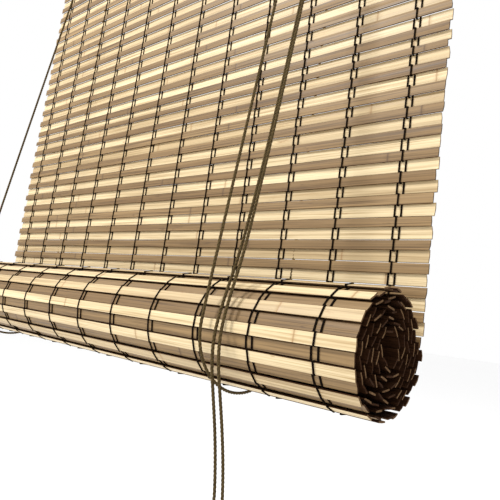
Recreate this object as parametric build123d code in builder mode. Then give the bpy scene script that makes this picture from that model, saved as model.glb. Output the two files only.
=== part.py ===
"""A bamboo roll-up blind: a woven slat sheet hung from a headrail, rolled up at its foot in two cord loops.

Millimetres. The origin is midway between the two wall screws, on the wall. X runs along the blind,
Y points into the wall, so the room is on the -Y side, and Z is up.
"""

import os
from math import atan2, cos, degrees, hypot, pi, radians, sin, tan

from build123d import *

# Blind
WIDTH = 726.0
SHEET_BACK_Y = -10.0  # back face of the light slats, in front of the wall
COLUMNS = 12  # columns of binding threads
COLUMN_SPACING = 60.0

# Slats
SLAT_THICKNESS = 1.5
SLAT_HEIGHT = 8.9
SLAT_GAP = 0.9
HEIGHT_VARIATION = 0.35  # the slats are split cane, and no two are quite alike
END_VARIATION = 0.9
NARROW_SLAT = 6.7
NARROW_PAIR = 24  # counted from the headrail

# Binding threads: two strands run between the light and the brown slats, one weaves round both
THREAD_WIDTH = 1.5
THREAD_THICKNESS = 0.7
THREAD_CLEARANCE = 0.05
STRAND_OFFSET = 3.0
THREADED_TURNS = 1.1  # the turns inside these are wound tight, and their hidden threads are left out
SLATS_PER_LENGTH = 8  # each strand is built in lengths, butted end to end

# Roll
ROLL_CENTRE_Z = -788.0
ROLL_HALF_DEPTH = 52.5  # along Y, to the threads of the outermost turn
ROLL_HALF_HEIGHT = 50.0
TURN_SPACING_Y = 7.4
TURN_SPACING_Z = 7.2
ROLL_TURNS = 5.6

# Headrail and the strip that clamps the sheet to it
RAIL_TOP_Z = -20.0
RAIL_DEPTH = 36.0
RAIL_HEIGHT = 32.0
RAIL_EDGE_RADIUS = 1.5
STRIP_THICKNESS = 6.0
STRIP_HEIGHT = 16.0
CLAMP_SCREW_SPACING = 120.0
CLAMP_SCREWS = 5
SCREW_RADIUS = 1.5
SCREW_HEAD_RADIUS = 3.0
SCREW_LENGTH = 16.0
SCREW_CLEARANCE = 0.1

# Hanger plates
HANGER_SPACING = 600.0
HANGER_WIDTH = 24.0
HANGER_THICKNESS = 2.0
HANGER_RISE = 14.0  # above the wall screw
HANGER_REACH = 38.0
WALL_HOLE_RADIUS = 2.25
HANGER_SCREW_SPACING = 18.0

# Cords and pulleys
CORD_RADIUS = 1.5
CORD_CLEARANCE = 0.3
LIFT_CORD_X = 225.0
BACK_CORD_Y = -6.2  # the cord behind the sheet
GROOVE_SPACING = 5.0
GROOVE_RADIUS = 10.5  # from a wheel's axis to the middle of its groove
FLANGE_HEIGHT = 1.1  # a flange's edge, past the middle of the groove
BEND_SLACK = 0.1  # the cord sits this much deeper than the middle of the groove
WHEEL_SIDE = 3.0  # from a groove's centre to the wheel's side face
WHEEL_PLAY = 0.3
WHEEL_BORE_RADIUS = 2.1
PIN_RADIUS = 2.0
PIN_HEAD_RADIUS = 3.2
PIN_HEAD = 0.9
PIN_SEAT_CLEARANCE = 0.02
SHEET_METAL = 1.5
PLATE_CORNER = 4.0
WHEEL_DROP = 14.5  # from the rail's underside to the wheel's axis
GROOVE_FRONT_Y = -36.0

# Cord lock
CAM_RADIUS = 7.0
CAM_ECCENTRICITY = 3.0
CAM_DROP = 19.0  # from the wheel's axis to the cam's axis
CAM_TEETH = 9
CAM_TOOTH = 0.45
JAW_RADIUS = 2.0

# Free pull cords, put away in a hank tied at its middle
HANK_WIDTH = 30.0
HANK_DEPTH = 19.0
HANK_HEIGHT = 80.0
HANK_CENTRE = (0.3, -92.4)
HANK_TOP_Z = -958.0
TIE_HEIGHT = 7.0
TIE_THICKNESS = 3.0
KNOT_WIDTH = 9.0
KNOT_HEIGHT = 14.0

# The pull cords' corners, with X counted from where the cords leave the lock wheel
PULL_CORD_A = [
    (0.0, -36.0, -66.5),
    (-0.1, -36.1, -90.0),
    (-0.6, -37.6, -128.0),
    (-1.2, -41.6, -182.0),
    (-1.8, -46.6, -239.0),
    (-2.4, -52.1, -297.0),
    (-2.8, -57.9, -355.0),
    (-3.3, -63.9, -413.0),
    (-3.7, -70.1, -471.0),
    (-4.1, -76.6, -529.0),
    (-4.5, -83.5, -587.0),
    (-4.7, -90.6, -640.0),
    (-4.7, -98.3, -688.0),
    (-4.4, -106.4, -730.0),
    (-4.1, -116.4, -764.0),
    (-4.0, -122.3, -792.0),
    (-3.6, -121.0, -816.0),
    (-3.3, -114.0, -842.0),
    (-2.9, -106.6, -870.0),
    (-2.5, -100.6, -900.0),
    (-2.0, -96.8, -930.0),
    (-1.7, -95.2, -958.0),
]
PULL_CORD_B = [
    (0.0, -31.0, -66.5),
    (0.1, -31.2, -90.0),
    (0.5, -33.8, -128.0),
    (1.1, -39.0, -182.0),
    (1.2, -45.0, -239.0),
    (0.9, -51.3, -297.0),
    (0.6, -57.7, -355.0),
    (0.1, -64.2, -413.0),
    (-0.3, -70.8, -471.0),
    (-0.6, -77.6, -529.0),
    (-0.9, -84.7, -587.0),
    (-0.7, -91.9, -640.0),
    (0.0, -99.5, -688.0),
    (1.1, -107.4, -730.0),
    (2.1, -117.2, -764.0),
    (2.6, -122.6, -791.0),
    (2.9, -120.6, -815.0),
    (3.1, -113.0, -841.0),
    (3.1, -104.8, -869.0),
    (3.0, -97.6, -899.0),
    (2.7, -92.4, -930.0),
    (2.3, -89.6, -958.0),
]

# Worked out from the sizes above
RAIL_BOTTOM_Z = RAIL_TOP_Z - RAIL_HEIGHT
THREAD_SLOT = THREAD_THICKNESS + 2 * THREAD_CLEARANCE
SLAT_OFFSET = (THREAD_SLOT + SLAT_THICKNESS) / 2  # from the middle strands to a slat's centre
WEAVE_OFFSET = SLAT_OFFSET + (SLAT_THICKNESS + THREAD_SLOT) / 2
SHEET_Y = SHEET_BACK_Y - SLAT_THICKNESS - THREAD_SLOT / 2  # where the middle strands hang
ROLL_CENTRE_Y = SHEET_Y - ROLL_HALF_DEPTH
FIRST_SLAT_TOP_Z = RAIL_BOTTOM_Z + SLAT_HEIGHT - SLAT_GAP / 2
RAIL_BACK_Y = SHEET_Y - THREAD_SLOT / 2 - THREAD_CLEARANCE
STRIP_FRONT_Y = SHEET_BACK_Y + THREAD_SLOT
STRIP_BACK_Y = STRIP_FRONT_Y + STRIP_THICKNESS
WHEEL_Z = RAIL_BOTTOM_Z - WHEEL_DROP
GROOVE_BACK_Y = GROOVE_FRONT_Y + GROOVE_SPACING
FALL_X = LIFT_CORD_X + 2 * GROOVE_RADIUS  # where the cords leave the lock wheel
CORD_BEND_RADIUS = GROOVE_RADIUS - BEND_SLACK
FLANGE_RADIUS = GROOVE_RADIUS + FLANGE_HEIGHT
COLUMN_X = [(i - (COLUMNS - 1) / 2) * COLUMN_SPACING for i in range(COLUMNS)]

os.makedirs("parts", exist_ok=True)


def save(piece, name):
    """Label a finished piece and write it as its own STEP file."""
    piece.label = name
    export_step(piece, f"parts/{name}.step")


# ---------------------------------------------------------------- the sheet's path, down and round the roll


def spiral_point(angle):
    """The middle strands' place after turning through that angle round the roll."""
    turns = angle / (2 * pi)
    half_depth = ROLL_HALF_DEPTH - TURN_SPACING_Y * turns
    half_height = ROLL_HALF_HEIGHT - TURN_SPACING_Z * turns
    return ROLL_CENTRE_Y + half_depth * cos(angle), ROLL_CENTRE_Z - half_height * sin(angle)


PATH_STEP = 0.004


def sheet_path():
    """Points (length along the sheet, y, z) from the first slat's top to the sheet's inner end."""
    points = [(0.0, SHEET_Y, FIRST_SLAT_TOP_Z)]
    for i in range(int(ROLL_TURNS * 2 * pi / PATH_STEP) + 1):
        y, z = spiral_point(i * PATH_STEP)
        length, last_y, last_z = points[-1]
        points.append((length + hypot(y - last_y, z - last_z), y, z))
    return points


PATH = sheet_path()


def on_sheet(length):
    """The place (y, z) at that length along the sheet, and the way the sheet runs there, as an angle."""
    low, high = 0, len(PATH) - 1
    while high - low > 1:
        middle = (low + high) // 2
        if PATH[middle][0] <= length:
            low = middle
        else:
            high = middle
    start, end = PATH[low], PATH[high]
    share = (length - start[0]) / (end[0] - start[0])
    y = start[1] + share * (end[1] - start[1])
    z = start[2] + share * (end[2] - start[2])
    return y, z, atan2(end[2] - start[2], end[1] - start[1])


def beside_sheet(length, offset):
    """The place that stands offset from the middle strands, towards the sheet's back face."""
    y, z, run = on_sheet(length)
    return y - offset * sin(run), z + offset * cos(run)


def slat_height(number):
    """Light slats have even numbers and brown ones odd numbers, from the headrail down."""
    if number // 2 == NARROW_PAIR:
        return NARROW_SLAT
    return SLAT_HEIGHT + HEIGHT_VARIATION * sin(2.3 * number + 0.7 * sin(0.9 * number))


def lay_slats():
    """The slats in order: (number, length along the sheet of its top edge, height)."""
    slats = []
    top = 0.0
    while top + slat_height(len(slats)) < PATH[-1][0]:
        number = len(slats)
        slats.append((number, top, slat_height(number)))
        top += slat_height(number) + SLAT_GAP
    return slats


SLATS = lay_slats()
HANGING_LENGTH = FIRST_SLAT_TOP_Z - ROLL_CENTRE_Z


def slat_place(number, top, height):
    """A slat's centre (y, z), its lean in degrees, and its height where the sheet bends round it."""
    first_y, first_z, first_run = on_sheet(top - SLAT_GAP / 2)
    last_y, last_z, last_run = on_sheet(top + height + SLAT_GAP / 2)
    chord = atan2(last_z - first_z, last_y - first_y)
    side = -SLAT_OFFSET if number % 2 else SLAT_OFFSET
    y = (first_y + last_y) / 2 - side * sin(chord)
    z = (first_z + last_z) / 2 + side * cos(chord)
    bend = (last_run - first_run + pi) % (2 * pi) - pi
    squeeze = 2 * (SLAT_OFFSET + SLAT_THICKNESS / 2) * tan(abs(bend) / 2) if number % 2 else 0.0
    return y, z, degrees(chord) + 90, height - squeeze


def slat_group(brown, rolled):
    """The boxes of one colour's slats, either in the hanging sheet or in the roll."""
    boxes = []
    for number, top, height in SLATS:
        if (number % 2 == 1) != brown or (top + height / 2 > HANGING_LENGTH) != rolled:
            continue
        y, z, lean, cut_height = slat_place(number, top, height)
        left = END_VARIATION * (1 + sin(1.9 * number))
        right = END_VARIATION * (1 + sin(2.7 * number + 1))
        place = Location(((left - right) / 2, y, z), (lean, 0, 0))
        boxes.append(place * Box(WIDTH - left - right, SLAT_THICKNESS, cut_height))
    return boxes


def gap_middles():
    """The length along the sheet of the middle of each gap that the threads pass."""
    last = PATH[round(THREADED_TURNS * 2 * pi / PATH_STEP)][0]
    middles = [top + height + SLAT_GAP / 2 for _, top, height in SLATS]
    return [middle for middle in middles if middle < last]


def middle_strand():
    """A strand between the light and the brown slats, straight where the sheet hangs."""
    bent = [length for length in gap_middles() if length > HANGING_LENGTH - 2 * SLAT_HEIGHT]
    lengths = [0.0, *bent]
    return [beside_sheet(length, 0) for length in lengths]


def weaving_strand():
    """A strand that passes behind each light slat and in front of each brown one."""
    points = [beside_sheet(0.0, WEAVE_OFFSET)]
    side = WEAVE_OFFSET
    for length in gap_middles():
        points.append(beside_sheet(length, side))
        side = -side
        points.append(beside_sheet(length, side))
    return points


def ribbon_lengths(points, cuts):
    """Outlines of a flat strand's lengths, from a centreline of straight stretches cut at some points."""
    sides = []
    for i, (y, z) in enumerate(points):
        before = points[max(i - 1, 0)]
        after = points[min(i + 1, len(points) - 1)]
        arrive = atan2(z - before[1], y - before[0]) if i else atan2(after[1] - z, after[0] - y)
        leave = atan2(after[1] - z, after[0] - y) if i < len(points) - 1 else arrive
        turn = (leave - arrive + pi) % (2 * pi) - pi
        across = arrive + turn / 2 + pi / 2
        reach = THREAD_THICKNESS / 2 / cos(turn / 2)
        out = (reach * cos(across), reach * sin(across))
        sides.append(((y + out[0], z + out[1]), (y - out[0], z - out[1])))
    outlines = []
    for first, last in zip(cuts, [*cuts[1:], len(points) - 1]):
        stretch = sides[first : last + 1]
        outlines.append([left for left, _ in stretch] + [right for _, right in stretch[::-1]])
    return outlines


# ---------------------------------------------------------------- headrail, clamp strip and hangers

rail_middle_y = RAIL_BACK_Y - RAIL_DEPTH / 2
first_slat_z = FIRST_SLAT_TOP_Z - slat_height(0) / 2
strip_middle_y = (STRIP_FRONT_Y + STRIP_BACK_Y) / 2
clamp_screw_x = [(i - (CLAMP_SCREWS - 1) / 2) * CLAMP_SCREW_SPACING for i in range(CLAMP_SCREWS)]
clamp_points = [(x, STRIP_BACK_Y, first_slat_z) for x in clamp_screw_x]
hanger_screw_y = [RAIL_BACK_Y - 10.0, RAIL_BACK_Y - 10.0 - HANGER_SCREW_SPACING]
hanger_x = (-HANGER_SPACING / 2, HANGER_SPACING / 2)
pulley_x = -LIFT_CORD_X + GROOVE_RADIUS
lock_x = LIFT_CORD_X + GROOVE_RADIUS
EAR_LENGTH = 30.0  # housing top web, to its ends, from the wheel's axis
EAR_SCREW = 24.0
ROD_DEPTH = SCREW_LENGTH - SCREW_HEAD_RADIUS / 2


def screw(point, into):
    """A countersunk screw whose head lies flush at that point, running in the given direction."""
    plane = Plane(origin=point, z_dir=into)
    with BuildPart() as piece:
        with BuildSketch(plane):
            Circle(SCREW_HEAD_RADIUS)
        with BuildSketch(plane.offset(SCREW_HEAD_RADIUS - SCREW_RADIUS)):
            Circle(SCREW_RADIUS)
        loft()
        with BuildSketch(plane.offset(SCREW_HEAD_RADIUS - SCREW_RADIUS)):
            Circle(SCREW_RADIUS)
        extrude(amount=SCREW_LENGTH - 2 * SCREW_RADIUS)
        with BuildSketch(plane.offset(SCREW_LENGTH - SCREW_RADIUS)):
            Circle(SCREW_RADIUS)
        with BuildSketch(plane.offset(SCREW_LENGTH)):
            Circle(SCREW_RADIUS / 4)
        loft()
        with BuildSketch(plane):
            Rectangle(SCREW_HEAD_RADIUS * 1.3, 0.8)
            Rectangle(0.8, SCREW_HEAD_RADIUS * 1.3)
        extrude(amount=0.9, mode=Mode.SUBTRACT)
    return piece.part


def screw_hole(point, into):
    """The hole that such a screw fills, with clearance all round."""
    plane = Plane(origin=point, z_dir=into)
    head = SCREW_HEAD_RADIUS + SCREW_CLEARANCE
    shank = SCREW_RADIUS + SCREW_CLEARANCE
    with BuildPart() as hole:
        with BuildSketch(plane):
            Circle(head)
        with BuildSketch(plane.offset(head - shank)):
            Circle(shank)
        loft()
        with BuildSketch(plane):
            Circle(shank)
        extrude(amount=SCREW_LENGTH + SCREW_CLEARANCE)
    return hole.part


clamp_holes = [screw_hole(point, (0, -1, 0)) for point in clamp_points]
hanger_points = [(x, y, RAIL_TOP_Z + HANGER_THICKNESS) for x in hanger_x for y in hanger_screw_y]
hanger_holes = [screw_hole(point, (0, 0, -1)) for point in hanger_points]
web_bottom_z = RAIL_BOTTOM_Z - SHEET_METAL
wheel_y_lock = (GROOVE_FRONT_Y + GROOVE_BACK_Y) / 2
pulley_points = [(pulley_x + side * EAR_SCREW, GROOVE_BACK_Y, web_bottom_z) for side in (-1, 1)]
lock_points = [(lock_x + side * EAR_SCREW, wheel_y_lock, web_bottom_z) for side in (-1, 1)]
pulley_holes = [screw_hole(point, (0, 0, 1)) for point in pulley_points]
lock_holes = [screw_hole(point, (0, 0, 1)) for point in lock_points]

with BuildPart() as headrail:
    with BuildSketch(Plane.YZ.offset(-WIDTH / 2)):
        with Locations((rail_middle_y, RAIL_TOP_Z - RAIL_HEIGHT / 2)):
            Rectangle(RAIL_DEPTH, RAIL_HEIGHT)
    extrude(amount=WIDTH)
    fillet(headrail.edges().filter_by(Axis.X), RAIL_EDGE_RADIUS)
    add(clamp_holes + hanger_holes + pulley_holes + lock_holes, mode=Mode.SUBTRACT)
save(headrail.part, "headrail")

with BuildPart() as clamp_strip:
    with BuildSketch(Plane.YZ.offset(-WIDTH / 2)):
        with Locations((strip_middle_y, RAIL_BOTTOM_Z + STRIP_HEIGHT / 2)):
            Rectangle(STRIP_THICKNESS, STRIP_HEIGHT)
    extrude(amount=WIDTH)
    back_edges = clamp_strip.edges().filter_by(Axis.X).group_by(Axis.Y)[-1]
    chamfer(back_edges, 1.0)
    with Locations(*[Location((x, BACK_CORD_Y, RAIL_BOTTOM_Z)) for x in (-LIFT_CORD_X, LIFT_CORD_X)]):
        Cylinder(CORD_RADIUS + CORD_CLEARANCE, 3 * STRIP_HEIGHT, mode=Mode.SUBTRACT)
    add(clamp_holes, mode=Mode.SUBTRACT)
save(clamp_strip.part, "clamp_strip")

with BuildPart() as clamp_screws:
    add([screw(point, (0, -1, 0)) for point in clamp_points])
save(clamp_screws.part, "clamp_screws")


def hanger_plate(x):
    """An L-shaped steel plate, screwed to the rail's top and hung on the wall by one screw."""
    top_z = RAIL_TOP_Z + HANGER_THICKNESS
    with BuildPart() as plate:
        with BuildSketch(Plane.YZ.offset(x - HANGER_WIDTH / 2)):
            with BuildLine():
                Polyline(
                    (0, RAIL_TOP_Z),
                    (0, HANGER_RISE),
                    (-HANGER_THICKNESS, HANGER_RISE),
                    (-HANGER_THICKNESS, top_z),
                    (-HANGER_REACH, top_z),
                    (-HANGER_REACH, RAIL_TOP_Z),
                    close=True,
                )
            make_face()
        extrude(amount=HANGER_WIDTH)
        bends = plate.edges().filter_by(Axis.X).sort_by_distance(Vector(x, 0, RAIL_TOP_Z))
        fillet(bends[0], 1.5 * HANGER_THICKNESS)
        fillet(bends[1], 0.5 * HANGER_THICKNESS)
        upright_corners = plate.edges().filter_by(Axis.Y).group_by(Axis.Z)[-1]
        fillet(upright_corners, HANGER_WIDTH / 4)
        foot_corners = plate.edges().filter_by(Axis.Z).group_by(Axis.Y)[0]
        fillet(foot_corners, HANGER_WIDTH / 6)
        with Locations(Location((x, 0, 0), (90, 0, 0))):
            Cylinder(WALL_HOLE_RADIUS, 4 * HANGER_THICKNESS, mode=Mode.SUBTRACT)
        add(hanger_holes, mode=Mode.SUBTRACT)
    return plate.part


for side, x in zip(("left", "right"), hanger_x):
    save(hanger_plate(x), f"hanger_plate_{side}")

with BuildPart() as hanger_screws:
    add([screw(point, (0, 0, -1)) for point in hanger_points])
save(hanger_screws.part, "hanger_screws")

# ---------------------------------------------------------------- pulley and cord lock


def wheel(centre, grooves):
    """A grooved wheel on an axis along Y, with the given number of grooves side by side."""
    half_width = (grooves - 1) * GROOVE_SPACING / 2 + WHEEL_SIDE
    groove_y = [(i - (grooves - 1) / 2) * GROOVE_SPACING for i in range(grooves)]
    groove_half = CORD_RADIUS + CORD_CLEARANCE
    with BuildPart() as piece:
        with BuildSketch(Plane(origin=centre)):
            with Locations(((WHEEL_BORE_RADIUS + FLANGE_RADIUS) / 2, 0)):
                Rectangle(FLANGE_RADIUS - WHEEL_BORE_RADIUS, 2 * half_width)
            with Locations(*[(GROOVE_RADIUS, y) for y in groove_y]):
                Circle(groove_half, mode=Mode.SUBTRACT)
            with Locations(*[(GROOVE_RADIUS + groove_half, y) for y in groove_y]):
                Rectangle(2 * groove_half, 2 * groove_half, mode=Mode.SUBTRACT)
        revolve(axis=Axis(centre, (0, 1, 0)))
    return piece.part


def pin(x, y, z, half_gap, radius=PIN_RADIUS):
    """A pin along Y, riveted into the two side plates of a housing."""
    reach = half_gap + SHEET_METAL
    with BuildPart() as piece:
        with BuildSketch(Plane(origin=(x, y - reach, z), z_dir=(0, 1, 0))):
            Circle(radius)
        extrude(amount=2 * reach)
        for face_y, out in ((y - reach, -1), (y + reach, 1)):
            with BuildSketch(Plane(origin=(x, face_y, z), z_dir=(0, out, 0))):
                Circle(PIN_HEAD_RADIUS)
            extrude(amount=PIN_HEAD)
    return piece.part


def housing(wheel_x, wheel_y, half_gap, side_outline, holes, screw_holes):
    """A folded steel channel: a web on the rail's underside and a side plate each side of the wheel."""
    side_y = half_gap + SHEET_METAL
    with BuildPart() as piece:
        with BuildSketch(Plane.XY.offset(web_bottom_z)):
            with Locations((wheel_x, wheel_y)):
                RectangleRounded(2 * EAR_LENGTH, 2 * side_y, 3.0)
        extrude(amount=SHEET_METAL)
        for plate_y in (wheel_y - side_y, wheel_y + half_gap):
            with BuildSketch(Plane.XZ.offset(-plate_y - SHEET_METAL)):
                with BuildLine():
                    Polyline(*side_outline, close=True)
                make_face()
            extrude(amount=SHEET_METAL)
        lowest = piece.edges().filter_by(Axis.Y).group_by(Axis.Z)[0]
        fillet(lowest, PLATE_CORNER)
        for x, z, radius in holes:
            with Locations(Location((x, wheel_y, z), (90, 0, 0))):
                Cylinder(radius + PIN_SEAT_CLEARANCE, 4 * side_y, mode=Mode.SUBTRACT)
        add(screw_holes, mode=Mode.SUBTRACT)
    return piece.part


pulley_half_gap = WHEEL_SIDE + WHEEL_PLAY
pulley_side = [
    (pulley_x - 9.0, web_bottom_z),
    (pulley_x + 9.0, web_bottom_z),
    (pulley_x + 6.0, WHEEL_Z - 7.0),
    (pulley_x - 6.0, WHEEL_Z - 7.0),
]
save(
    housing(
        pulley_x,
        GROOVE_BACK_Y,
        pulley_half_gap,
        pulley_side,
        [(pulley_x, WHEEL_Z, PIN_RADIUS)],
        pulley_holes,
    ),
    "pulley_housing",
)
save(wheel((pulley_x, GROOVE_BACK_Y, WHEEL_Z), 1), "pulley_wheel")
save(pin(pulley_x, GROOVE_BACK_Y, WHEEL_Z, pulley_half_gap), "pulley_pin")
with BuildPart() as pulley_screws:
    add([screw(point, (0, 0, 1)) for point in pulley_points])
save(pulley_screws.part, "pulley_screws")

lock_half_gap = WHEEL_SIDE + GROOVE_SPACING / 2 + WHEEL_PLAY
cam_z = WHEEL_Z - CAM_DROP
cam_reach = CAM_RADIUS + CAM_ECCENTRICITY
cam_x = FALL_X + CORD_RADIUS + CORD_CLEARANCE + cam_reach
jaw_x = FALL_X - CORD_RADIUS - CORD_CLEARANCE - JAW_RADIUS
lock_side = [
    (lock_x - 9.0, web_bottom_z),
    (lock_x + EAR_LENGTH - 10.0, web_bottom_z),
    (cam_x + 6.0, cam_z + 4.0),
    (cam_x + 6.0, cam_z - 7.0),
    (jaw_x - 5.0, cam_z - 7.0),
]
save(
    housing(
        lock_x,
        wheel_y_lock,
        lock_half_gap,
        lock_side,
        [(lock_x, WHEEL_Z, PIN_RADIUS), (cam_x, cam_z, PIN_RADIUS), (jaw_x, cam_z, JAW_RADIUS)],
        lock_holes,
    ),
    "lock_housing",
)
save(wheel((lock_x, wheel_y_lock, WHEEL_Z), 2), "lock_wheel")
save(pin(lock_x, wheel_y_lock, WHEEL_Z, lock_half_gap), "lock_wheel_pin")
save(pin(cam_x, wheel_y_lock, cam_z, lock_half_gap), "lock_cam_pin")
save(pin(jaw_x, wheel_y_lock, cam_z, lock_half_gap, JAW_RADIUS), "lock_jaw_pin")
with BuildPart() as lock_screws:
    add([screw(point, (0, 0, 1)) for point in lock_points])
save(lock_screws.part, "lock_screws")

cam_half_width = lock_half_gap - WHEEL_PLAY
with BuildPart() as lock_cam:
    with BuildSketch(Plane(origin=(cam_x, wheel_y_lock, cam_z), x_dir=(1, 0, 0), z_dir=(0, -1, 0))):
        with Locations((-CAM_ECCENTRICITY, 0)):
            Circle(CAM_RADIUS)
            with PolarLocations(CAM_RADIUS, CAM_TEETH, start_angle=120, angular_range=120):
                Circle(CAM_TOOTH, mode=Mode.SUBTRACT)
        Circle(WHEEL_BORE_RADIUS, mode=Mode.SUBTRACT)
    extrude(amount=cam_half_width, both=True)
save(lock_cam.part, "lock_cam")

# ---------------------------------------------------------------- slats and binding threads

for name, brown, rolled in (
    ("hanging_light_slats", False, False),
    ("hanging_brown_slats", True, False),
    ("rolled_light_slats", False, True),
    ("rolled_brown_slats", True, True),
):
    boxes = slat_group(brown, rolled)
    if name == "hanging_light_slats":
        with BuildPart() as first_slat:
            add(boxes[0])
            add(clamp_holes, mode=Mode.SUBTRACT)
        boxes[0] = first_slat.part
    save(Compound(children=[box.solid() for box in boxes]), name)

middle_points = middle_strand()
weaving_points = weaving_strand()
middle_lengths = ribbon_lengths(middle_points, [0, *range(1, len(middle_points) - 1, SLATS_PER_LENGTH)])
weaving_lengths = ribbon_lengths(weaving_points, range(0, len(weaving_points) - 1, 2 * SLATS_PER_LENGTH))
strands = ((-STRAND_OFFSET, middle_lengths), (0.0, weaving_lengths), (STRAND_OFFSET, middle_lengths))
for number, column_x in enumerate(COLUMN_X, start=1):
    pieces = []
    for offset, outlines in strands:
        for outline in outlines:
            with BuildPart() as length:
                with BuildSketch(Plane.YZ.offset(column_x + offset - THREAD_WIDTH / 2)):
                    with BuildLine():
                        Polyline(*outline, close=True)
                    make_face()
                extrude(amount=THREAD_WIDTH)
            pieces.append(length.part.solid())
    save(Compound(children=pieces), f"binding_threads_{number:02d}")

# ---------------------------------------------------------------- cords


def arc_radii(points, most=None):
    """For each corner, the largest radius that its two runs leave room for, up to most."""
    radii = []
    for before, corner, after in zip(points, points[1:], points[2:]):
        arrive = Vector(*corner) - Vector(*before)
        leave = Vector(*after) - Vector(*corner)
        turn = radians(arrive.get_angle(leave))
        radius = 0.45 * min(arrive.length, leave.length) / tan(turn / 2)
        radii.append(min(radius, most) if most else radius)
    return radii


def cord(points, radii):
    """A round cord along straight runs joined by tangent arcs."""
    start = Vector(*points[0])
    with BuildPart() as piece:
        with BuildLine():
            FilletPolyline(*points, radius=radii)
        with BuildSketch(Plane(origin=points[0], z_dir=Vector(*points[1]) - start)):
            Circle(CORD_RADIUS)
        sweep()
    return piece.part


WRAP_CLEARANCE = 0.5
WRAP_STEP = radians(30)
WRAP_CORNERS = 7  # from the roll's back, under it and up to its front
wrap_outside = WEAVE_OFFSET + THREAD_SLOT / 2 + CORD_RADIUS + WRAP_CLEARANCE


def wrap_corner(number):
    """A corner of the straight-sided path that touches the cord's ellipse round the roll."""
    angle = (number + 0.5) * WRAP_STEP
    reach = 1 / cos(WRAP_STEP / 2)
    y = ROLL_CENTRE_Y + (ROLL_HALF_DEPTH + wrap_outside) * cos(angle) * reach
    z = ROLL_CENTRE_Z - (ROLL_HALF_HEIGHT + wrap_outside) * sin(angle) * reach
    return y, z


def lift_cord_points(x, groove_y):
    """From the knot behind the rail, down behind the sheet, under the roll and up to the pulley."""
    top_z = RAIL_BOTTOM_Z + STRIP_HEIGHT
    wrap = [(x, *wrap_corner(number)) for number in range(WRAP_CORNERS)]
    return [(x, BACK_CORD_Y, top_z), *wrap, (x, groove_y, WHEEL_Z - 9.0)]


over_wheel_z = WHEEL_Z + GROOVE_RADIUS
right_route = lift_cord_points(LIFT_CORD_X, GROOVE_FRONT_Y) + [
    (LIFT_CORD_X, GROOVE_FRONT_Y, over_wheel_z),
    (FALL_X, GROOVE_FRONT_Y, over_wheel_z),
    (FALL_X, GROOVE_FRONT_Y, WHEEL_Z),
]
left_route = lift_cord_points(-LIFT_CORD_X, GROOVE_BACK_Y) + [
    (-LIFT_CORD_X, GROOVE_BACK_Y, over_wheel_z),
    (FALL_X, GROOVE_BACK_Y, over_wheel_z),
    (FALL_X, GROOVE_BACK_Y, WHEEL_Z),
]
for name, route in (("lift_cord_right", right_route), ("lift_cord_left", left_route)):
    radii = arc_radii(route)[:-2] + [CORD_BEND_RADIUS, CORD_BEND_RADIUS]
    lift_cord = cord(route, radii)
    print(name, "length", round(lift_cord.volume / (pi * CORD_RADIUS**2)), "radii", [round(r) for r in radii])
    save(lift_cord, name)

with BuildPart() as lift_cord_knots:
    knot_bottom = RAIL_BOTTOM_Z + STRIP_HEIGHT
    for x in (-LIFT_CORD_X, LIFT_CORD_X):
        with BuildSketch(Plane((x, BACK_CORD_Y, knot_bottom))):
            Circle(CORD_RADIUS * 1.4)
        with BuildSketch(Plane((x, BACK_CORD_Y, knot_bottom + 2.5))):
            Circle(CORD_RADIUS * 1.9)
        with BuildSketch(Plane((x, BACK_CORD_Y, knot_bottom + 6.0))):
            Circle(CORD_RADIUS * 1.1)
        loft()
save(lift_cord_knots.part, "lift_cord_knots")

for name, corners in (("pull_cord_a", PULL_CORD_A), ("pull_cord_b", PULL_CORD_B)):
    points = [(FALL_X + x, y, z) for x, y, z in corners]
    radii = arc_radii(points)
    pull_cord = cord(points, radii)
    print(name, "length", round(pull_cord.volume / (pi * CORD_RADIUS**2)), "radii", [round(r) for r in radii])
    save(pull_cord, name)

hank_x, hank_y = FALL_X + HANK_CENTRE[0], HANK_CENTRE[1]
hank_middle_z = HANK_TOP_Z - HANK_HEIGHT / 2
hank_plane = Plane(origin=(hank_x, hank_y, hank_middle_z), x_dir=(1, 0, 0), z_dir=(0, -1, 0))
with BuildPart() as cord_hank:
    with BuildSketch(hank_plane):
        SlotOverall(HANK_HEIGHT, HANK_WIDTH, rotation=90)
    extrude(amount=HANK_DEPTH / 2, both=True)
save(cord_hank.part, "cord_hank")

with BuildPart() as hank_tie:
    with BuildSketch(Plane.XY.offset(hank_middle_z - TIE_HEIGHT / 2)):
        with Locations((hank_x, hank_y)):
            RectangleRounded(HANK_WIDTH + 2 * TIE_THICKNESS, HANK_DEPTH + 2 * TIE_THICKNESS, TIE_THICKNESS)
            Rectangle(HANK_WIDTH, HANK_DEPTH, mode=Mode.SUBTRACT)
    extrude(amount=TIE_HEIGHT)
save(hank_tie.part, "hank_tie")

with BuildPart() as cord_knot:
    with BuildSketch(Plane((hank_x, hank_y, HANK_TOP_Z - HANK_HEIGHT))):
        Circle(KNOT_WIDTH / 3)
    with BuildSketch(Plane((hank_x, hank_y, HANK_TOP_Z - HANK_HEIGHT - KNOT_HEIGHT / 2))):
        Circle(KNOT_WIDTH / 2)
    with BuildSketch(Plane((hank_x, hank_y, HANK_TOP_Z - HANK_HEIGHT - KNOT_HEIGHT))):
        Circle(KNOT_WIDTH / 3)
    loft()
save(cord_knot.part, "cord_knot")

print("slats", len(SLATS), "sheet length", round(PATH[-1][0]))
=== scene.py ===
"""Looks of the bamboo roll-up blind: cane slats, threads, twisted cords, rail and fittings. In metres."""

import random
from dataclasses import dataclass
from math import atan2, cos, pi, sin

import bpy
from mathutils import Matrix, Vector


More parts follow.
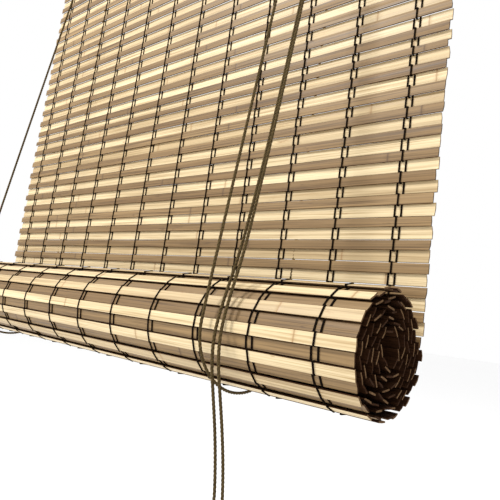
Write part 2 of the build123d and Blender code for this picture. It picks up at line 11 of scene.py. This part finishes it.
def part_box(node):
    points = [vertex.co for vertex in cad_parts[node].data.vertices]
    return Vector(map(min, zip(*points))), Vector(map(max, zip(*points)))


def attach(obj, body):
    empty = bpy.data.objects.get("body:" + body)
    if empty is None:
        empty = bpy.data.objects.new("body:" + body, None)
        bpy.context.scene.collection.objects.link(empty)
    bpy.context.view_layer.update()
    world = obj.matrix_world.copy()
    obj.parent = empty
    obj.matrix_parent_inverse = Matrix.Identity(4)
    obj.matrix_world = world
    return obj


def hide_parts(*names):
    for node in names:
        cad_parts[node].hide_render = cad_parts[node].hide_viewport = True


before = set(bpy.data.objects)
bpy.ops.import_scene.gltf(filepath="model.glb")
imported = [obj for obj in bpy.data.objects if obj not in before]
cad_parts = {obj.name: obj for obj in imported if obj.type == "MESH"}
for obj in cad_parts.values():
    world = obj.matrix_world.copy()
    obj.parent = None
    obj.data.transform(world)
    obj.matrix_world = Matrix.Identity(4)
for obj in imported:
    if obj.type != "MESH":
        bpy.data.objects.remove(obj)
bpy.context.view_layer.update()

ROOT = "blind"

# ---------------------------------------------------------------- materials

WHITE = (1, 1, 1)
BLACK = (0, 0, 0)
JOINT_SPACING = 0.31  # between a cane's joints
TONE_SPREAD = 37.0  # how far apart in the grain two slats of different tone start


def grey(value):
    return (value, value, value)


def material(name, roughness, specular):
    mat = bpy.data.materials.new(name)
    mat.use_nodes = True
    shader = mat.node_tree.nodes["Principled BSDF"]
    shader.inputs["Roughness"].default_value = roughness
    shader.inputs["Specular IOR Level"].default_value = specular
    return mat, mat.node_tree, shader


def node(tree, kind, **values):
    """A new node; values name its settings, or its inputs where the name has a capital."""
    new = tree.nodes.new(kind)
    for key, value in values.items():
        if key[0].isupper():
            new.inputs[key].default_value = value
        else:
            setattr(new, key, value)
    return new


def noise(tree, scale, shift=None, **values):
    """Noise in the object's own frame, stretched by scale, and shifted by an output if given."""
    coordinates = node(tree, "ShaderNodeTexCoord")
    mapping = node(tree, "ShaderNodeMapping", Scale=scale)
    tree.links.new(coordinates.outputs["Object"], mapping.inputs["Vector"])
    if shift is not None:
        tree.links.new(shift, mapping.inputs["Location"])
    new = node(tree, "ShaderNodeTexNoise", Scale=1.0, **values)
    tree.links.new(mapping.outputs["Vector"], new.inputs["Vector"])
    return new.outputs["Fac"]


def ramp(tree, value, stops):
    """A value's colour, between stops of place and colour."""
    new = node(tree, "ShaderNodeValToRGB")
    elements = new.color_ramp.elements
    while len(elements) < len(stops):
        elements.new(0.5)
    for element, (place, colour) in zip(elements, stops):
        element.position = place
        element.color = (*colour, 1)
    tree.links.new(value, new.inputs["Fac"])
    return new.outputs["Color"]


def mix(tree, first, second, factor, mode="MIX"):
    """Two colours mixed; factor is a number or an output."""
    new = node(tree, "ShaderNodeMix", data_type="RGBA", blend_type=mode)
    factor_in, first_in, second_in = (new.inputs[i] for i in (0, 6, 7))
    tree.links.new(first, first_in)
    tree.links.new(second, second_in)
    if isinstance(factor, (int, float)):
        factor_in.default_value = factor
    else:
        tree.links.new(factor, factor_in)
    return new.outputs[2]


def flat_colour(tree, colour):
    new = node(tree, "ShaderNodeRGB")
    new.outputs[0].default_value = (*colour, 1)
    return new.outputs[0]


def bump(tree, shader, height, strength, distance, previous=None):
    """Relief on the shader, on top of an earlier relief if given."""
    new = node(tree, "ShaderNodeBump", Strength=strength, Distance=distance)
    tree.links.new(height, new.inputs["Height"])
    if previous is not None:
        tree.links.new(previous, new.inputs["Normal"])
    tree.links.new(new.outputs["Normal"], shader.inputs["Normal"])
    return new.outputs["Normal"]


def joint_distance(tree, phase):
    """How far along X each point is from its slat's nearest cane joint, as a share of their spacing."""
    coordinates = node(tree, "ShaderNodeTexCoord")
    axes = node(tree, "ShaderNodeSeparateXYZ")
    tree.links.new(coordinates.outputs["Object"], axes.inputs[0])
    share = node(tree, "ShaderNodeMath", operation="DIVIDE")
    share.inputs[1].default_value = JOINT_SPACING
    tree.links.new(axes.outputs["X"], share.inputs[0])
    moved = node(tree, "ShaderNodeMath", operation="ADD")
    tree.links.new(share.outputs[0], moved.inputs[0])
    tree.links.new(phase, moved.inputs[1])
    wave = node(tree, "ShaderNodeMath", operation="PINGPONG")
    wave.inputs[1].default_value = 0.5
    tree.links.new(moved.outputs[0], wave.inputs[0])
    return wave.outputs[0]


def cane(name, pale, deep, stain, stain_from):
    """Split cane: fine grain along X, a tone of its own for each slat, stained patches, and joints.

    Patches show where their noise is above stain_from."""
    mat, tree, shader = material(name, 0.52, 0.35)
    tone = node(tree, "ShaderNodeAttribute", attribute_name="tone").outputs["Vector"]
    spread = node(tree, "ShaderNodeVectorMath", operation="SCALE", Scale=TONE_SPREAD)
    tree.links.new(tone, spread.inputs[0])
    start = spread.outputs["Vector"]
    split = node(tree, "ShaderNodeSeparateXYZ")
    tree.links.new(tone, split.inputs[0])

    grain = noise(tree, (9, 900, 900), start, Detail=5.0, Roughness=0.6)
    bright = [min(1, c * 1.12) for c in pale]
    grain_colour = ramp(tree, grain, [(0.3, deep), (0.52, pale), (0.8, bright)])
    streak = noise(tree, (4, 260, 260), start, Detail=3.0)
    streak_colour = ramp(tree, streak, [(0.35, (0.72, 0.68, 0.62)), (0.6, WHITE)])
    colour = mix(tree, grain_colour, streak_colour, 0.85, "MULTIPLY")

    tones = [(0, (0.74, 0.68, 0.6)), (0.5, (0.95, 0.93, 0.9)), (1, grey(1.1))]
    colour = mix(tree, colour, ramp(tree, split.outputs["X"], tones), 1.0, "MULTIPLY")

    patch = noise(tree, (30, 120, 120), start, Detail=4.0, Roughness=0.7)
    patch_mask = ramp(tree, patch, [(stain_from, BLACK), (stain_from + 0.1, grey(0.75))])
    colour = mix(tree, colour, flat_colour(tree, stain), patch_mask)

    distance = joint_distance(tree, split.outputs["Y"])
    joint_mask = ramp(tree, distance, [(0, grey(0.8)), (0.004, grey(0.15)), (0.012, BLACK)])
    colour = mix(tree, colour, flat_colour(tree, stain), joint_mask)
    tree.links.new(colour, shader.inputs["Base Color"])

    grain_relief = bump(tree, shader, grain, 0.35, 0.0002)
    joint_height = ramp(tree, distance, [(0, WHITE), (0.006, grey(0.1)), (0.012, BLACK)])
    bump(tree, shader, joint_height, 0.5, 0.0004, grain_relief)
    rough = ramp(tree, streak, [(0.3, grey(0.42)), (0.7, grey(0.66))])
    tree.links.new(rough, shader.inputs["Roughness"])
    return mat


def cut_cane(name, dark, pale):
    """Cut cane, or cane dark with painted shade: short rough fibres, with little of the grain to see."""
    mat, tree, shader = material(name, 0.75, 0.04)
    fibres = noise(tree, (60, 1300, 1300), Detail=4.0, Roughness=0.7)
    colour = ramp(tree, fibres, [(0.35, dark), (0.68, pale)])
    tree.links.new(colour, shader.inputs["Base Color"])
    bump(tree, shader, fibres, 0.5, 0.0002)
    return mat


def fibre(name, dark, light, scale, roughness, sheen):
    """Spun cord or thread: fine fibres of two shades."""
    mat, tree, shader = material(name, roughness, sheen)
    shader.inputs["Sheen Weight"].default_value = sheen
    fibres = noise(tree, (scale, scale, scale), Detail=6.0, Roughness=0.7)
    between = [(a + b) / 2 for a, b in zip(dark, light)]
    colour = ramp(tree, fibres, [(0.36, dark), (0.5, between), (0.64, light)])
    tree.links.new(colour, shader.inputs["Base Color"])
    bump(tree, shader, fibres, 0.6, 0.0003)
    return mat


def brushed(name, colour, metallic, roughness):
    """Metal, enamel or plastic with faint brushing."""
    mat, tree, shader = material(name, roughness, 0.5)
    shader.inputs["Metallic"].default_value = metallic
    brushing = noise(tree, (60, 900, 900), Detail=4.0)
    shade = ramp(tree, brushing, [(0.3, [c * 0.8 for c in colour]), (0.7, colour)])
    tree.links.new(shade, shader.inputs["Base Color"])
    rough = ramp(tree, brushing, [(0.3, grey(roughness * 1.3)), (0.7, grey(roughness * 0.8))])
    tree.links.new(rough, shader.inputs["Roughness"])
    bump(tree, shader, brushing, 0.12, 0.0001)
    return mat


def rail_wood():
    """Varnished softwood with long wavy rings."""
    mat, tree, shader = material("rail_wood", 0.5, 0.4)
    rings = noise(tree, (3, 90, 90), Detail=8.0, Roughness=0.6, Distortion=0.4)
    colours = [(0.3, (0.3, 0.17, 0.08)), (0.5, (0.5, 0.32, 0.16)), (0.7, (0.62, 0.43, 0.24))]
    tree.links.new(ramp(tree, rings, colours), shader.inputs["Base Color"])
    bump(tree, shader, rings, 0.2, 0.0003)
    return mat


LIGHT_CANE = cane("light_cane", (0.66, 0.54, 0.335), (0.38, 0.26, 0.12), (0.28, 0.155, 0.06), 0.66)
BROWN_CANE = cane("brown_cane", (0.245, 0.158, 0.07), (0.085, 0.048, 0.019), (0.07, 0.038, 0.018), 0.64)
# Painted shade: the dark long edges stand for the shadow lines between slats; the short fibres are the cane's
# own.
SHADED_EDGE = cut_cane("edge_painted_shade", (0.035, 0.018, 0.008), (0.13, 0.07, 0.03))
LIGHT_END = cut_cane("light_end", (0.05, 0.024, 0.01), (0.2, 0.12, 0.06))
BROWN_END = cut_cane("brown_end", (0.012, 0.004, 0.0015), (0.055, 0.024, 0.01))
# Painted shade: dark cane for the roll's faces turned to its axis and for the slats wound inside it.
ROLL_INSIDE_SHADE = cut_cane("roll_inside_painted_shade", (0.01, 0.0035, 0.0013), (0.042, 0.017, 0.007))
THREAD = fibre("dark_thread", (0.002, 0.0015, 0.001), (0.012, 0.008, 0.006), 2500, 1.0, 0.0)
CORD = fibre("spun_cord", (0.014, 0.009, 0.003), (0.15, 0.102, 0.04), 1400, 0.85, 0.05)
STEEL = brushed("plated_steel", (0.6, 0.6, 0.58), 1.0, 0.32)
BROWN_PAINT = brushed("brown_enamel", (0.13, 0.08, 0.05), 0.0, 0.45)
PLASTIC = brushed("moulded_plastic", (0.72, 0.68, 0.58), 0.0, 0.5)
RAIL_WOOD = rail_wood()

# ---------------------------------------------------------------- meshes and curves


def add_object(name, data, *mats):
    """A new object in the scene, with its finishes."""
    obj = bpy.data.objects.new(name, data)
    bpy.context.collection.objects.link(obj)
    for mat in mats:
        obj.data.materials.append(mat)
    return obj


def ring_faces(first, rings, sides):
    """The faces of a closed tube of rings, whose first corner is the mesh's corner number first."""
    faces = []
    for i in range(rings - 1):
        for j in range(sides):
            a = first + i * sides + j
            b = first + i * sides + (j + 1) % sides
            faces.append((a, b, b + sides, a + sides))
    faces.append(tuple(first + j for j in range(sides))[::-1])
    faces.append(tuple(first + (rings - 1) * sides + j for j in range(sides)))
    return faces


def nurbs_curve(name, points, resolution):
    """An open NURBS curve of order 3 with these control points, and no thickness."""
    curve = bpy.data.curves.new(name, "CURVE")
    curve.dimensions = "3D"
    curve.resolution_u = resolution
    spline = curve.splines.new("NURBS")
    spline.points.add(len(points) - 1)
    for item, point in zip(spline.points, points):
        item.co = (*point, 1)
    spline.order_u = 3
    spline.use_endpoint_u = True
    return curve


# ---------------------------------------------------------------- slats

ROLL_CENTRE = (-0.0644, -0.788)  # Y and Z
ROLL_RADIUS = 0.0515  # to the outer turn
TURN_SPACING = 0.0073
OUTER_TURN = 0.6  # how far in from the outer turn a slat counts as wound inside, in turns

GAP_COVER = 0.00045  # the cane swells past its cut height into the thread gaps
LIP = 0.0019  # a light slat's upper lip, behind the brown slat above it, dark with painted shade
WORN_CORNER = 0.00028
CROWN = 0.00012  # a face's middle stands proud of its sides
EDGE_WAVE = 0.00009  # a long edge's waviness
END_TRIM = 0.0006
END_SLANT = 0.0005
ABOUT_A_TURN = 6.28

FACE, EDGE, END, INSIDE = range(4)  # the finishes' places on a slat
CORNERS_OF_A_BOX = 8


@dataclass
class Slat:
    """A slat's place and half sizes. Across is the way that its height runs, and through its thickness."""

    centre: Vector
    half_length: float
    half_height: float
    half_depth: float
    across: Vector
    through: Vector


def islands(mesh):
    """The separate pieces of a mesh, each as a list of its distinct corner points."""
    place = {}
    label = []
    for vertex in mesh.vertices:
        key = tuple(round(c * 1e6) for c in vertex.co)
        label.append(place.setdefault(key, len(place)))
    parent = list(range(len(place)))

    def root(i):
        while parent[i] != i:
            parent[i] = parent[parent[i]]
            i = parent[i]
        return i

    for edge in mesh.edges:
        a, b = (root(label[i]) for i in edge.vertices)
        parent[a] = b
    found = {}
    for key, i in place.items():
        found.setdefault(root(i), []).append(Vector(key) * 1e-6)
    return list(found.values())


def read_slat(corners):
    """The slat that a CAD solid's corners outline; one with holes in it is taken to be upright."""
    low = [min(c[i] for c in corners) for i in range(3)]
    high = [max(c[i] for c in corners) for i in range(3)]
    half = [(b - a) / 2 for a, b in zip(low, high)]
    centre = Vector([(a + b) / 2 for a, b in zip(low, high)])
    if len(corners) != CORNERS_OF_A_BOX:
        return Slat(centre, half[0], half[2], half[1], Vector((0, 0, 1)), Vector((0, 1, 0)))
    first, *others = [c for c in corners if c.x > centre.x]
    others.sort(key=lambda c: (c - first).length)
    through = others[0] - first
    across = others[1] - first
    half_height = across.length / 2
    half_depth = through.length / 2
    if across.z < 0:
        across = across * -1
    return Slat(centre, half[0], half_height, half_depth, across.normalized(), through.normalized())


def grow(slat, cover, lip):
    """Makes a slat taller, by cover at its lower edge and by cover or lip at its upper one."""
    rise = max(lip - cover, 0)
    slat.half_height += cover + rise / 2
    slat.centre = slat.centre + slat.across * rise / 2


def from_roll_axis(slat):
    return Vector((0, slat.centre.y - ROLL_CENTRE[0], slat.centre.z - ROLL_CENTRE[1]))


def is_wound_inside(slat):
    """Whether a rolled slat is further in than the outer turn, which spirals in as it goes round."""
    out = from_roll_axis(slat)
    turned = atan2(-out.z, out.y) % (2 * pi) / (2 * pi)
    return out.length < ROLL_RADIUS - (turned + OUTER_TURN) * TURN_SPACING


def twist(slat, twist_limit, chance):
    """Turns a slat about its own length, by more the nearer it is to the roll's axis."""
    most = twist_limit * (1 + 2 * (1 - from_roll_axis(slat).length / ROLL_RADIUS))
    spin = Matrix.Rotation(chance.uniform(-most, most), 3, "X")
    slat.across, slat.through = spin @ slat.across, spin @ slat.through


def slat_section(slat, dark_lip):
    """A slat's outline across its grain, as shares of its half height and half depth.

    Its front is the face that through points out of, and its lip, dark with painted shade, is at the top of
    the front."""
    upper = 1 - max(WORN_CORNER, dark_lip) / slat.half_height
    lower = -1 + WORN_CORNER / slat.half_height
    front = 1 - WORN_CORNER / slat.half_depth
    back = -1 + WORN_CORNER / slat.half_depth
    front_face = [(1, front), (upper, 1), (0, 1), (lower, 1), (-1, front)]
    back_face = [(-1, back), (lower, -1), (0, -1), (upper, -1), (1, back)]
    return front_face + back_face


# Sides of the outline that are edges: the front's lip, the lower edge, the back's lower corner, the top.
# Their dark finish is painted shade along the gaps between slats.
EDGE_SIDES = (0, 4, 5, 9)


def slat_finishes(slat, sides, rolled, wound_inside):
    """The finish of each side of a slat's outline. In the roll, what faces its axis, and all of a slat wound
    further in, gets painted shade.
    """
    front_is_outside = slat.through.dot(from_roll_axis(slat)) > 0
    finishes = []
    for j in range(sides):
        on_front = j < sides // 2
        if wound_inside or (rolled and on_front != front_is_outside):
            finishes.append(INSIDE)
        else:
            finishes.append(EDGE if j in EDGE_SIDES else FACE)
    return finishes


def slat_corners(slat, section, stations, chance):
    """A slat's corner points, ring by ring along X: wavy edges, crowned faces and slanting rough ends."""
    # The last two waves drawn are spare.
    first_wave, second_wave, _, _ = [chance.uniform(0, ABOUT_A_TURN) for _ in range(4)]
    slants = [chance.uniform(-END_SLANT, END_SLANT) for _ in range(2)]
    corners = []
    for i in range(stations):
        share = i / (stations - 1)
        x = slat.centre.x + (2 * share - 1) * slat.half_length
        wave = 2 + sin(first_wave + 9 * share) + sin(second_wave + 23 * share)
        half_height = slat.half_height - EDGE_WAVE * wave
        if i == 0:
            end, slant = -1, slants[0]
        elif i == stations - 1:
            end, slant = 1, slants[1]
        else:
            end, slant = 0, 0
        for a, t in section:
            half_depth = slat.half_depth - (0 if a == 0 else CROWN)
            slip = slant * a
            point = slat.centre + slat.across * (a * half_height) + slat.through * (t * half_depth)
            corners.append((x - end * END_TRIM + slip - end * abs(slip), point.y, point.z))
    return corners


def cane_slats(name, source, slot, mats, seed, cover, lip=0.0, stations=22, twist_limit=0.0):
    """Split-cane slats in place of a node's boxes: crowned faces, long edges dark with painted shade, and
    rough ends.

    mats are the finishes of the faces, the long edges (painted shade), the ends, and what is wound inside
    (painted shade). Slats with a twist_limit are in the roll."""
    chance = random.Random(seed)
    rolled = twist_limit > 0
    corners, faces, finishes, tones = [], [], [], []
    for outline in islands(bpy.data.objects[source].data):
        slat = read_slat(outline)
        grow(slat, cover, lip)
        wound_inside = rolled and is_wound_inside(slat)
        if wound_inside:
            twist(slat, twist_limit, chance)
        tone = (chance.random(), chance.random(), chance.random())
        section = slat_section(slat, lip + cover)
        sides = len(section)
        faces += ring_faces(len(corners), stations, sides)
        finishes += slat_finishes(slat, sides, rolled, wound_inside) * (stations - 1) + [END, END]
        corners += slat_corners(slat, section, stations, chance)
        tones += [tone] * (stations * sides)
    mesh = bpy.data.meshes.new(name)
    mesh.from_pydata(corners, [], faces)
    mesh.polygons.foreach_set("material_index", finishes)
    attribute = mesh.attributes.new("tone", "FLOAT_VECTOR", "POINT")
    for item, tone in zip(attribute.data, tones):
        item.vector = tone
    obj = add_object(name, mesh, *mats)
    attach(obj, ROOT)
    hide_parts(source)


# The edge and inside finishes are painted shade.
LIGHT_MATS = (LIGHT_CANE, SHADED_EDGE, LIGHT_END, ROLL_INSIDE_SHADE)
BROWN_MATS = (BROWN_CANE, SHADED_EDGE, BROWN_END, ROLL_INSIDE_SHADE)
ROLLED = {"stations": 16, "twist_limit": 0.24}
cane_slats("light_cane_slats", "hanging_light_slats", "light_bamboo", LIGHT_MATS, 3, GAP_COVER, LIP)
cane_slats("brown_cane_slats", "hanging_brown_slats", "brown_bamboo", BROWN_MATS, 5, 0.0)
cane_slats(
    "rolled_light_cane_slats", "rolled_light_slats", "light_bamboo", LIGHT_MATS, 7, GAP_COVER, **ROLLED
)
cane_slats(
    "rolled_brown_cane_slats", "rolled_brown_slats", "brown_bamboo", BROWN_MATS, 11, 2 * GAP_COVER, **ROLLED
)

# ---------------------------------------------------------------- cords

CORD_RADIUS = 0.0015
LAY_LENGTH = 0.0105  # of one full twist
RINGS_PER_LAY = 9
PLIES = 3
PLY_SIDES = 6
PLY_RADIUS = CORD_RADIUS * 0.52
PLY_STRETCH = 1.08  # a slanting ply is wider round the cord than it is deep


def line_points(curve, spacing):
    """Even points along a curve's own line."""
    holder = add_object("route", curve)
    bpy.context.view_layer.update()
    line = bpy.data.meshes.new_from_object(holder.evaluated_get(bpy.context.evaluated_depsgraph_get()))
    points = [v.co.copy() for v in line.vertices]
    bpy.data.objects.remove(holder)
    bpy.data.meshes.remove(line)
    even = [points[0]]
    carried = 0.0
    for a, b in zip(points, points[1:]):
        length = (b - a).length
        while carried + length >= spacing:
            share = (spacing - carried) / length
            a = a.lerp(b, share)
            even.append(a.copy())
            length = (b - a).length
            carried = 0.0
        carried += length
    even.append(points[-1])
    return even


def ply_corners(line, angle, spacing):
    """One ply's corner points, wound round a cord's line from a starting angle."""
    corners = []
    normal = Vector((1, 0, 0))
    for i, point in enumerate(line):
        along = (line[min(i + 1, len(line) - 1)] - line[max(i - 1, 0)]).normalized()
        normal = (normal - along * normal.dot(along)).normalized()
        out = normal * cos(angle) + along.cross(normal) * sin(angle)
        around = along.cross(out)
        centre = point + out * (CORD_RADIUS - PLY_RADIUS)
        for j in range(PLY_SIDES):
            turn = 2 * pi * j / PLY_SIDES
            corners.append(centre + (out * cos(turn) + around * sin(turn) * PLY_STRETCH) * PLY_RADIUS)
        angle += 2 * pi * spacing / LAY_LENGTH
    return corners


def twisted_cord(name, points):
    """A cord's plies wound round its route's own line. Returns the object, its line and its length."""
    spacing = LAY_LENGTH / RINGS_PER_LAY
    line = line_points(nurbs_curve(name, points, 10), spacing)
    corners, faces = [], []
    for ply in range(PLIES):
        faces += ring_faces(len(corners), len(line), PLY_SIDES)
        corners += ply_corners(line, 2 * pi * ply / PLIES, spacing)
    mesh = bpy.data.meshes.new(name)
    mesh.from_pydata(corners, [], faces)
    mesh.polygons.foreach_set("use_smooth", [True] * len(mesh.polygons))
    obj = add_object(name, mesh, CORD)
    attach(obj, ROOT)
    return obj, line, sum((b - a).length for a, b in zip(line, line[1:]))


def wound_cord(name, points, radius, source):
    """A short plain cord, wound tightly through the points, in place of a node."""
    curve = nurbs_curve(name, points, 12)
    curve.bevel_depth = radius
    curve.bevel_resolution = 3
    obj = add_object(name, curve, CORD)
    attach(obj, ROOT)
    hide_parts(source)
    return obj


def millimetres(points):
    return [Vector(point) / 1000 for point in points]


PULL_A = millimetres(
    [
        (246.0, -36.0, -66.5),
        (245.9, -36.1, -90.0),
        (245.4, -37.6, -128.0),
        (244.8, -41.6, -182.0),
        (244.2, -46.6, -239.0),
        (243.6, -52.1, -297.0),
        (243.2, -57.9, -355.0),
        (242.7, -63.9, -413.0),
        (242.3, -70.1, -471.0),
        (241.9, -76.6, -529.0),
        (241.5, -83.5, -587.0),
        (241.3, -90.6, -640.0),
        (241.3, -98.3, -688.0),
        (241.6, -106.4, -730.0),
        (241.9, -116.4, -764.0),
        (242.0, -122.3, -792.0),
        (242.4, -121.0, -816.0),
        (242.7, -114.0, -842.0),
        (243.1, -106.6, -870.0),
        (243.5, -100.6, -900.0),
        (244.0, -96.8, -930.0),
        (244.3, -95.2, -958.0),
    ]
)
PULL_B = millimetres(
    [
        (246.0, -31.0, -66.5),
        (246.1, -31.2, -90.0),
        (246.5, -33.8, -128.0),
        (247.1, -39.0, -182.0),
        (247.2, -45.0, -239.0),
        (246.9, -51.3, -297.0),
        (246.6, -57.7, -355.0),
        (246.1, -64.2, -413.0),
        (245.7, -70.8, -471.0),
        (245.4, -77.6, -529.0),
        (245.1, -84.7, -587.0),
        (245.3, -91.9, -640.0),
        (246.0, -99.5, -688.0),
        (247.1, -107.4, -730.0),
        (248.1, -117.2, -764.0),
        (248.6, -122.6, -791.0),
        (248.9, -120.6, -815.0),
        (249.1, -113.0, -841.0),
        (249.1, -104.8, -869.0),
        (249.0, -97.6, -899.0),
        (248.7, -92.4, -930.0),
        (248.3, -89.6, -958.0),
    ]
)


def lift_route(x, y):
    """A lift cord's points: down behind the sheet at x, round the roll, and up to the wheels at y."""
    return millimetres(
        [
            (x, -6.2, -36.0),
            (x, -7.2, -802.7),
            (x, -22.5, -828.0),
            (x, -49.1, -842.7),
            (x, -79.7, -842.7),
            (x, -106.3, -828.0),
            (x, -121.6, -802.7),
            (x, -121.6, -773.3),
            (x, y, -75.5),
            (x, y, -56.0),
            (246.0, y, -56.0),
            (246.0, y, -66.5),
        ]
    )


def hank_loops(front_y, back_y, first_x, last_x, bottom, top):
    """A cord's loops in the hank, wound side by side: down the front, across, and up the back."""
    turns = 9
    points = []
    for i in range(turns):
        x = first_x + (last_x - first_x) * i / (turns - 1)
        step = (last_x - first_x) / (turns - 1) / 4
        points += [
            (x, front_y, top),
            (x + step * 0.5, front_y, (top + bottom) / 2),
            (x + step, front_y, bottom),
            (x + 2 * step, back_y, bottom),
            (x + step * 2.5, back_y, (top + bottom) / 2),
            (x + 3 * step, back_y, top),
        ]
    return millimetres(points)


HANK_A = hank_loops(-100.1, -84.7, 233.1, 258.3, -1035.0, -961.0)
HANK_B = hank_loops(-96.3, -88.5, 259.1, 233.9, -1031.0, -965.0)
KNOT_RUN_A = millimetres([(257.7, -92.4, -962.0), (251.7, -92.4, -1000.0), (246.3, -92.4, -1040.0)])
KNOT_RUN_B = millimetres([(235.7, -92.4, -966.0), (241.7, -92.4, -1000.0), (246.3, -92.4, -1038.0)])

# The hank's first loop takes the place of each pull cord's last point.
lift_right, _, _ = twisted_cord("lift_cord_right_twist", lift_route(225.0, -36.0))
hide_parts("lift_cord_right")
lift_left, _, _ = twisted_cord("lift_cord_left_twist", lift_route(-225.0, -31.0))
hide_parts("lift_cord_left")
pull_a, line_a, length_a = twisted_cord("pull_cord_a_twist", PULL_A[:-1] + HANK_A + KNOT_RUN_A)
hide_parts("pull_cord_a", "cord_hank")
pull_b, line_b, length_b = twisted_cord("pull_cord_b_twist", PULL_B[:-1] + HANK_B + KNOT_RUN_B)
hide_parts("pull_cord_b")


def knot_points(low, high, turns=4):
    """A fat coil in the middle of the knot's box, narrower at its ends."""
    radius = 0.0045
    height = 0.01092
    centre = (low + high) / 2
    points = []
    for i in range(turns * 8 + 1):
        share = i / (turns * 8)
        swell = radius * (0.45 + 0.55 * sin(pi * share)) - CORD_RADIUS
        angle = 2 * pi * turns * share
        z = centre.z + height * (share - 0.5)
        points.append((centre.x + swell * cos(angle), centre.y + swell * sin(angle), z))
    return points


def tie_points(low, high, turns=2):
    """A winding that fills the tie's box, round the hank's waist."""
    centre = (low + high) / 2
    half = (high - low) / 2
    points = []
    for i in range(turns * 12 + 1):
        share = i / (turns * 12)
        angle = 2 * pi * turns * share
        x = centre.x + (half.x - CORD_RADIUS) * cos(angle)
        y = centre.y + (half.y - CORD_RADIUS) * sin(angle)
        points.append((x, y, low.z + CORD_RADIUS + 2 * (half.z - CORD_RADIUS) * share))
    return points


knot = wound_cord("pull_cord_knot", knot_points(*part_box("cord_knot")), CORD_RADIUS * 0.92, "cord_knot")
tie = wound_cord("hank_tie_winding", tie_points(*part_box("hank_tie")), CORD_RADIUS, "hank_tie")

# ---------------------------------------------------------------- CAD pieces' finishes

FINISHES = {
    "headrail": RAIL_WOOD,
    "clamp_strip": RAIL_WOOD,
    "lift_cord_knots": CORD,
    "pulley_wheel": PLASTIC,
    "lock_wheel": PLASTIC,
    "lock_cam": PLASTIC,
    "hanger_plate_left": BROWN_PAINT,
    "hanger_plate_right": BROWN_PAINT,
    "pulley_housing": BROWN_PAINT,
    "lock_housing": BROWN_PAINT,
}
for name in sorted(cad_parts):
    piece = bpy.data.objects[name]
    if not piece.hide_render:
        is_thread = name.startswith("binding_threads")
        piece.data.materials.clear()
        piece.data.materials.append(THREAD if is_thread else FINISHES.get(name, STEEL))

# ---------------------------------------------------------------- light, floor and camera

FLOOR_Z = -1.3
FLOOR_REACH = 40

world = bpy.data.worlds.new("studio")
bpy.context.scene.world = world
world.use_nodes = True
background = world.node_tree.nodes["Background"]
background.inputs["Color"].default_value = (*WHITE, 1)
background.inputs["Strength"].default_value = 1.0

floor_mesh = bpy.data.meshes.new("floor")
floor_corners = [(x * FLOOR_REACH, y * FLOOR_REACH, FLOOR_Z) for x, y in ((-1, -1), (1, -1), (1, 1), (-1, 1))]
floor_mesh.from_pydata(floor_corners, [], [(0, 1, 2, 3)])
floor_mat, _, floor_shader = material("floor", 0.9, 0.1)
floor_shader.inputs["Base Color"].default_value = (0.96, 0.96, 0.96, 1)
add_object("floor", floor_mesh, floor_mat)


def area_light(name, place, target, size, power, colour=WHITE):
    lamp = bpy.data.lights.new(name, "AREA")
    lamp.size = size
    lamp.energy = power
    lamp.color = colour
    obj = add_object(name, lamp)
    obj.location = place
    obj.rotation_euler = (Vector(target) - Vector(place)).to_track_quat("-Z", "Y").to_euler()


area_light("key", (-0.9, -1.7, 1.2), (0, 0, -0.65), 0.5, 78, (1, 0.985, 0.96))
area_light("fill", (1.6, -1.6, -0.3), (0, 0, -0.6), 1.6, 4)

CAMERA_PLACE = (0.5355, -0.4204, -0.7806)
CAMERA_RIGHT = Vector((0.7487, 0.6491, 0.1347))
CAMERA_UP = Vector((-0.0152, -0.1864, 0.9824))

camera = bpy.data.cameras.new("camera")
camera.sensor_width = 36
camera.lens = 38.17
camera.shift_y = 0.004
camera.clip_start = 0.01
eye = add_object("camera", camera)
facing = Matrix((CAMERA_RIGHT, CAMERA_UP, CAMERA_RIGHT.cross(CAMERA_UP))).transposed().to_4x4()
eye.matrix_world = Matrix.Translation(CAMERA_PLACE) @ facing
bpy.context.scene.camera = eye
bpy.context.scene.view_settings.view_transform = "Standard"
